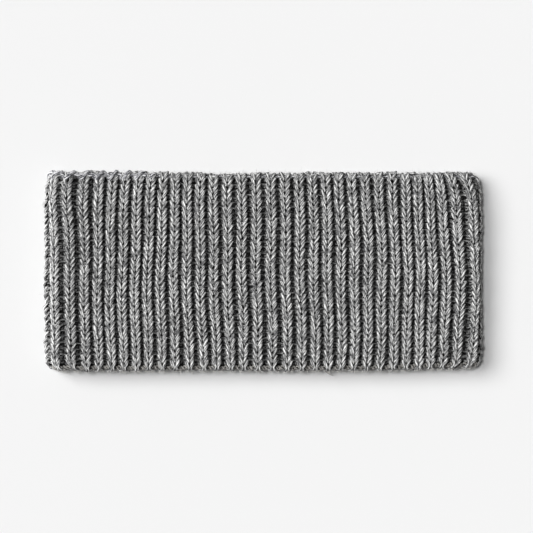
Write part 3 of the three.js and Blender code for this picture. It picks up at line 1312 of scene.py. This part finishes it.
@dataclass(frozen=True)
class YarnFinish:
    """Heathered yarn: twisted plies of light and dark fibre, with a fine reflective filament.

    The plies, their fibres and the filament follow the map `yarn`. The attribute `shade` is painted
    shade and light: it darkens the colour of deep strands and their turned-away sides, and lightens it
    on folds and ends. The grooves between plies are painted shade, and the filament's pale line is
    partly painted glints.
    """

    name: str
    dark: tuple[float, float, float] = (0.205, 0.205, 0.21)
    light: tuple[float, float, float] = (0.84, 0.84, 0.83)
    plies: int = 4
    ply_turn: float = 26.0          # millimetres of yarn in one turn
    groove_shade: float = 0.10        # painted shade in the groove between two plies: its brightness
    groove_half: float = 0.70       # how far out of the groove the painted shade reaches
    streak_round: float = 1.6       # light and dark streaks: their fineness round the yarn
    streak_along: float = 0.42      # and along it
    streak_share: float = 0.68      # how much of the mixture they are; the rest is single fibres
    mixed_range: tuple[float, float] = (0.43, 0.54)     # where the mixture goes from dark to light
    fibre_scale: float = 3.0        # how much finer the single fibres are
    heather_along: float = 0.22     # stretches of lighter and darker yarn: their fineness along it
    heather_range: tuple[float, float] = (0.35, 0.65)   # where their noise goes from dark to light
    heather_low: float = 0.82       # how bright the darkest stretch is
    heather_high: float = 1.10      # and the lightest
    filament_width: float = 0.10    # the filament's share of the way round
    filament_along: float = 0.16    # how often it dips under the fibre
    filament_shows: float = 0.47    # the noise above which it lies on the surface
    filament_row: float = 5.0       # where that noise is read, well away from the heather's
    filament_tone_and_glint: float = 1.3     # how bright it is beside the fibre: a paler thread, and painted glints
    filament_gloss: float = 0.5     # its roughness is 1 less this
    roughness: float = 0.85         # of the fibre
    shine: float = 0.12             # how much light the fibre mirrors
    sheen: float = 0.03             # and how much its fuzz adds where it is seen edge on
    sheen_roughness: float = 0.5
    fibre_relief: float = 0.8       # how high the mixture stands beside the plies
    relief: float = 0.0003          # the height of a ply, in metres
    relief_strength: float = 0.8

    def along_plies(self, sketch: Sketch, twisted: Socket, along: Socket, scale: float) -> Socket:
        """Noise that is drawn out along the plies.

        Args:
            sketch: The material.
            twisted: The place round the yarn, turned with the plies.
            along: The place along it.
            scale: How much finer the noise is than the streaks.

        Returns:
            The noise.
        """
        angle = sketch.math("MULTIPLY", twisted, TURN)
        round_scale = self.streak_round * scale
        place = sketch.vector(
            sketch.math("MULTIPLY", sketch.math("COSINE", angle), round_scale),
            sketch.math("MULTIPLY", sketch.math("SINE", angle), round_scale),
            sketch.math("MULTIPLY", along, self.streak_along * scale),
        )
        return sketch.noise(place, 1.0, 1.0)

    def filament(self, sketch: Sketch, twisted: Socket, along: Socket) -> Socket:
        """Where the reflective filament shows: a thin line along a ply that dips under in places.

        Args:
            sketch: The material.
            twisted: The place round the yarn, turned with the plies.
            along: The place along it.

        Returns:
            1 on the filament and 0 beside it.
        """
        line = sketch.math("LESS_THAN", sketch.math("FRACT", twisted), self.filament_width)
        dips = sketch.math("MULTIPLY", along, self.filament_along)
        depth = sketch.noise(sketch.vector(dips, self.filament_row, 0.0), 1.0, 0.0)
        shows = sketch.math("GREATER_THAN", depth, self.filament_shows)
        return sketch.math("MULTIPLY", line, shows)

    def material(self) -> bpy.types.Material:
        """Makes the material.

        Returns:
            The material.
        """
        made = bpy.data.materials.new(self.name)
        sketch = Sketch(made, MATERIAL_SHADER)
        around, along = sketch.map_axes("yarn")
        twisted = sketch.math("ADD", around, sketch.math("MULTIPLY", along, -1 / self.ply_turn))
        wave = sketch.math("SINE", sketch.math("MULTIPLY", twisted, math.pi * self.plies))
        ply = sketch.math("ABSOLUTE", wave)
        streak = self.along_plies(sketch, twisted, along, 1.0)
        fibre = self.along_plies(sketch, twisted, along, self.fibre_scale)
        streak = sketch.math("MULTIPLY", streak, self.streak_share)
        fibre = sketch.math("MULTIPLY", fibre, 1 - self.streak_share)
        mixed = sketch.math("ADD", streak, fibre)
        heather_place = sketch.vector(sketch.math("MULTIPLY", along, self.heather_along), 0.0, 0.0)
        heather = sketch.noise(heather_place, 1.0, 1.0)
        filament = self.filament(sketch, twisted, along)

        share = sketch.remap(mixed, *self.mixed_range, 0, 1)
        colour = sketch.blend(share, self.dark, self.light)
        # Painted shade in the ply grooves and from `shade`, and the filament's pale tone with painted
        # glints, all change the colour.
        for factor in (
            sketch.remap(ply, 0, self.groove_half, self.groove_shade, 1),
            sketch.remap(heather, *self.heather_range, self.heather_low, self.heather_high),
            sketch.remap(filament, 0, 1, 1, self.filament_tone_and_glint),
            sketch.attribute("shade"),
        ):
            colour = sketch.times(colour, factor)
        sketch.feed(sketch.shader.inputs["Base Color"], colour)
        roughness = sketch.remap(filament, 0, 1, self.roughness, 1 - self.filament_gloss)
        sketch.feed(sketch.shader.inputs["Roughness"], roughness)
        sketch.settle({
            "Specular IOR Level": self.shine,
            "Sheen Weight": self.sheen,
            "Sheen Roughness": self.sheen_roughness,
        })
        height = sketch.math("ADD", ply, sketch.math("MULTIPLY", mixed, self.fibre_relief))
        sketch.bump(height, self.relief, self.relief_strength)
        return made


@dataclass(frozen=True)
class FluffFinish:
    """Loose fibre: a plain grey that is uneven from place to place."""

    name: str
    dark: tuple[float, float, float]
    light: tuple[float, float, float]
    scale: float = 900.0            # how fine its noise is, for places in metres
    detail: float = 3.0
    noise_range: tuple[float, float] = (0.3, 0.7)       # where it goes from dark to light
    relief: float = 0.0003          # its height, in metres
    relief_strength: float = 0.6

    def material(self) -> bpy.types.Material:
        """Makes the material.

        Returns:
            The material.
        """
        made = bpy.data.materials.new(self.name)
        sketch = Sketch(made, MATERIAL_SHADER)
        fluff = sketch.noise(sketch.place("Object"), self.scale, self.detail)
        colour = sketch.blend(sketch.remap(fluff, *self.noise_range, 0, 1), self.dark, self.light)
        sketch.feed(sketch.shader.inputs["Base Color"], colour)
        sketch.settle(MATT)
        sketch.bump(fluff, self.relief, self.relief_strength)
        return made


@dataclass(frozen=True)
class Sun:
    """A lamp that is as good as endlessly far away."""

    name: str
    toward: tuple[float, float, float]      # from the band to the lamp
    width: float                            # its disc, in degrees
    strength: float

    def hang(self) -> None:
        """Puts the lamp in the scene."""
        lamp = bpy.data.lights.new(self.name, "SUN")
        lamp.energy = self.strength
        lamp.angle = math.radians(self.width)
        hung = bpy.data.objects.new(self.name, lamp)
        hung.rotation_euler = Vector(self.toward).to_track_quat("Z", "Y").to_euler()
        bpy.context.collection.objects.link(hung)


@dataclass(frozen=True)
class Studio:
    """A plain pale floor, soft lamps above and to the upper left, pale walls, and the camera."""

    floor_half: float = 4.0
    floor_grey: float = 0.785
    wall_light: float = 1.45        # how bright the walls are near the floor
    wall_contrast: float = 0.84     # how much of that light moves from the right wall to the left
    ceiling_light: float = 0.10     # how bright the ceiling is
    wall_top: float = 0.22          # where the walls end, as the height of a direction
    suns: tuple[Sun, ...] = (
        Sun("key", (-0.78, 0.30, 1.0), 38.0, 2.70),
        Sun("top", (-0.18, 0.10, 1.0), 10.0, 1.26),
    )
    camera_height: float = 3.008    # metres, as are the next two
    camera_aside: float = 0.0011
    camera_up: float = 0.0032
    lens: float = 371.3

    def floor(self) -> bpy.types.Object:
        """Makes the floor: a square at the height that the band rests on.

        Returns:
            The floor.
        """
        corners = ((-1, -1), (1, -1), (1, 1), (-1, 1))
        mesh = bpy.data.meshes.new("floor")
        points = [(x * self.floor_half, y * self.floor_half, 0.0) for x, y in corners]
        mesh.from_pydata(points, [], [(0, 1, 2, 3)])
        paper = bpy.data.materials.new("floor_paper")
        grey = (self.floor_grey, self.floor_grey, self.floor_grey, 1.0)
        Sketch(paper, MATERIAL_SHADER).settle({"Base Color": grey, **MATT})
        mesh.materials.append(paper)
        floor = bpy.data.objects.new("floor", mesh)
        bpy.context.collection.objects.link(floor)
        return floor

    def light(self) -> None:
        """Sets the light of the walls and ceiling, which comes from all round, and the lamps."""
        world = bpy.data.worlds.new("studio")
        sketch = Sketch(world, "Background")
        x, _, z = sketch.split(sketch.place("Generated"))
        glow = sketch.remap(z, 0, self.wall_top, self.wall_light, self.ceiling_light)
        sideways = sketch.math("ADD", sketch.math("MULTIPLY", x, -self.wall_contrast), 1.0)
        sketch.settle({"Color": WHITE})
        sketch.feed(sketch.shader.inputs["Strength"], sketch.math("MULTIPLY", glow, sideways))
        bpy.context.scene.world = world
        for sun in self.suns:
            sun.hang()
        bpy.context.scene.view_settings.view_transform = "Standard"

    def camera(self) -> None:
        """Puts the camera straight above the band, with the bind-off edge at the top."""
        lens = bpy.data.cameras.new("camera")
        lens.lens = self.lens
        camera = bpy.data.objects.new("camera", lens)
        camera.location = (self.camera_aside, self.camera_up, self.camera_height)
        bpy.context.collection.objects.link(camera)
        bpy.context.scene.camera = camera


def dress(piece: bpy.types.Object, material: bpy.types.Material, node: str) -> None:
    """Gives a piece its finish and its place in the frame.

    Args:
        piece: The piece.
        material: Its finish.
        node: The CAD node that it stands for.
    """
    piece.data.materials.append(material)
    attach(piece, "root")
    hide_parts(node)
    LOG.info("%s: %d faces for %s", piece.name, len(piece.data.polygons), node)


def main() -> None:
    """Builds the studio, then the band from its courses out to its loose fibres."""
    logging.basicConfig(level=logging.INFO, format="%(name)s: %(message)s")
    studio = Studio()
    studio.camera()
    studio.light()
    studio.floor()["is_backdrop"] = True

    shape = BandShape()
    yarn = YarnFinish("heather_yarn").material()
    courses = KnitCourses(shape).build()
    for piece in courses:
        dress(piece, yarn, "rib_band")

    # Both chains' painted shade is lighter on turned-away sides than the ribs': 0.6 at the bind-off,
    # 0.85 at the cast-on.
    bind_off = EdgeChain(shape, End.BIND_OFF, shading=Shading(turned=0.6)).build()
    bind_off_yarn = YarnFinish("bind_off_yarn", (0.11, 0.11, 0.125), (0.82, 0.82, 0.84)).material()
    dress(bind_off, bind_off_yarn, "bind_off_edge")
    cast_on = EdgeChain(
        shape, End.CAST_ON, middle=51.9, rise=0.90, lift=-0.5, through=0.0, proud_rise=0.0,
        proud_out=0.0, proud_swell=0.0, proud_hump=0.0, turns_per_rib=2,
        shading=Shading(turned=0.85), seed=22,
    ).build()
    cast_on_yarn = YarnFinish("cast_on_yarn", (0.24, 0.232, 0.218), (0.52, 0.505, 0.48)).material()
    dress(cast_on, cast_on_yarn, "cast_on_edge")
    yarn_end = YarnEnd(shape).build()
    dress(yarn_end, cast_on_yarn, "cast_on_edge")

    fluff = FluffFinish("loose_fibre", (0.25, 0.25, 0.25), (0.60, 0.60, 0.58)).material()
    fibres = LooseFibres(shape).build()
    dress(fibres, fluff, "rib_band")
    # Pale fuzz for the hem and the folds: a paler tone of its own, lightened further as painted light
    # where it lies in shadow.
    pale = FluffFinish("pale_fibre_painted_light", (0.72, 0.70, 0.66), (0.95, 0.93, 0.89)).material()
    hem_fuzz = LooseFibres(
        shape, "hem_fuzz", on_ribs=0, on_edges=1500, ends=(End.CAST_ON,), radius=0.07, shortest=0.3,
        longest=1.3, edge_share=1.0, edge=53.8, columns=22, seed=34,
    ).build()
    dress(hem_fuzz, pale, "cast_on_edge")
    fold_fuzz = LooseFibres(
        shape, "fold_fuzz", on_ribs=900, on_edges=0, first_rib=shape.front_ribs,
        last_rib=shape.front_ribs + 1, radius=0.07, shortest=0.6, longest=2.0, columns=10, seed=35,
    ).build()
    dress(fold_fuzz, pale, "rib_band")
    layer = FibreLayer(shape).build()
    # Near black: the fibre layer's colour is painted shade, the dark deep in the valleys.
    deep = FluffFinish("painted_shade_fibre", (0.004, 0.004, 0.004), (0.02, 0.02, 0.02))
    dress(layer, deep.material(), "rib_band")
    others = [*courses, bind_off, cast_on, yarn_end, fibres, hem_fuzz, fold_fuzz]

    boxes = {"cad": cad_box, "visual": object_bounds()}
    lists = {name: [list(corner) for corner in box] for name, box in boxes.items()}
    LOG.info("boxes: %s", lists)


if __name__ == "__main__":
    main()
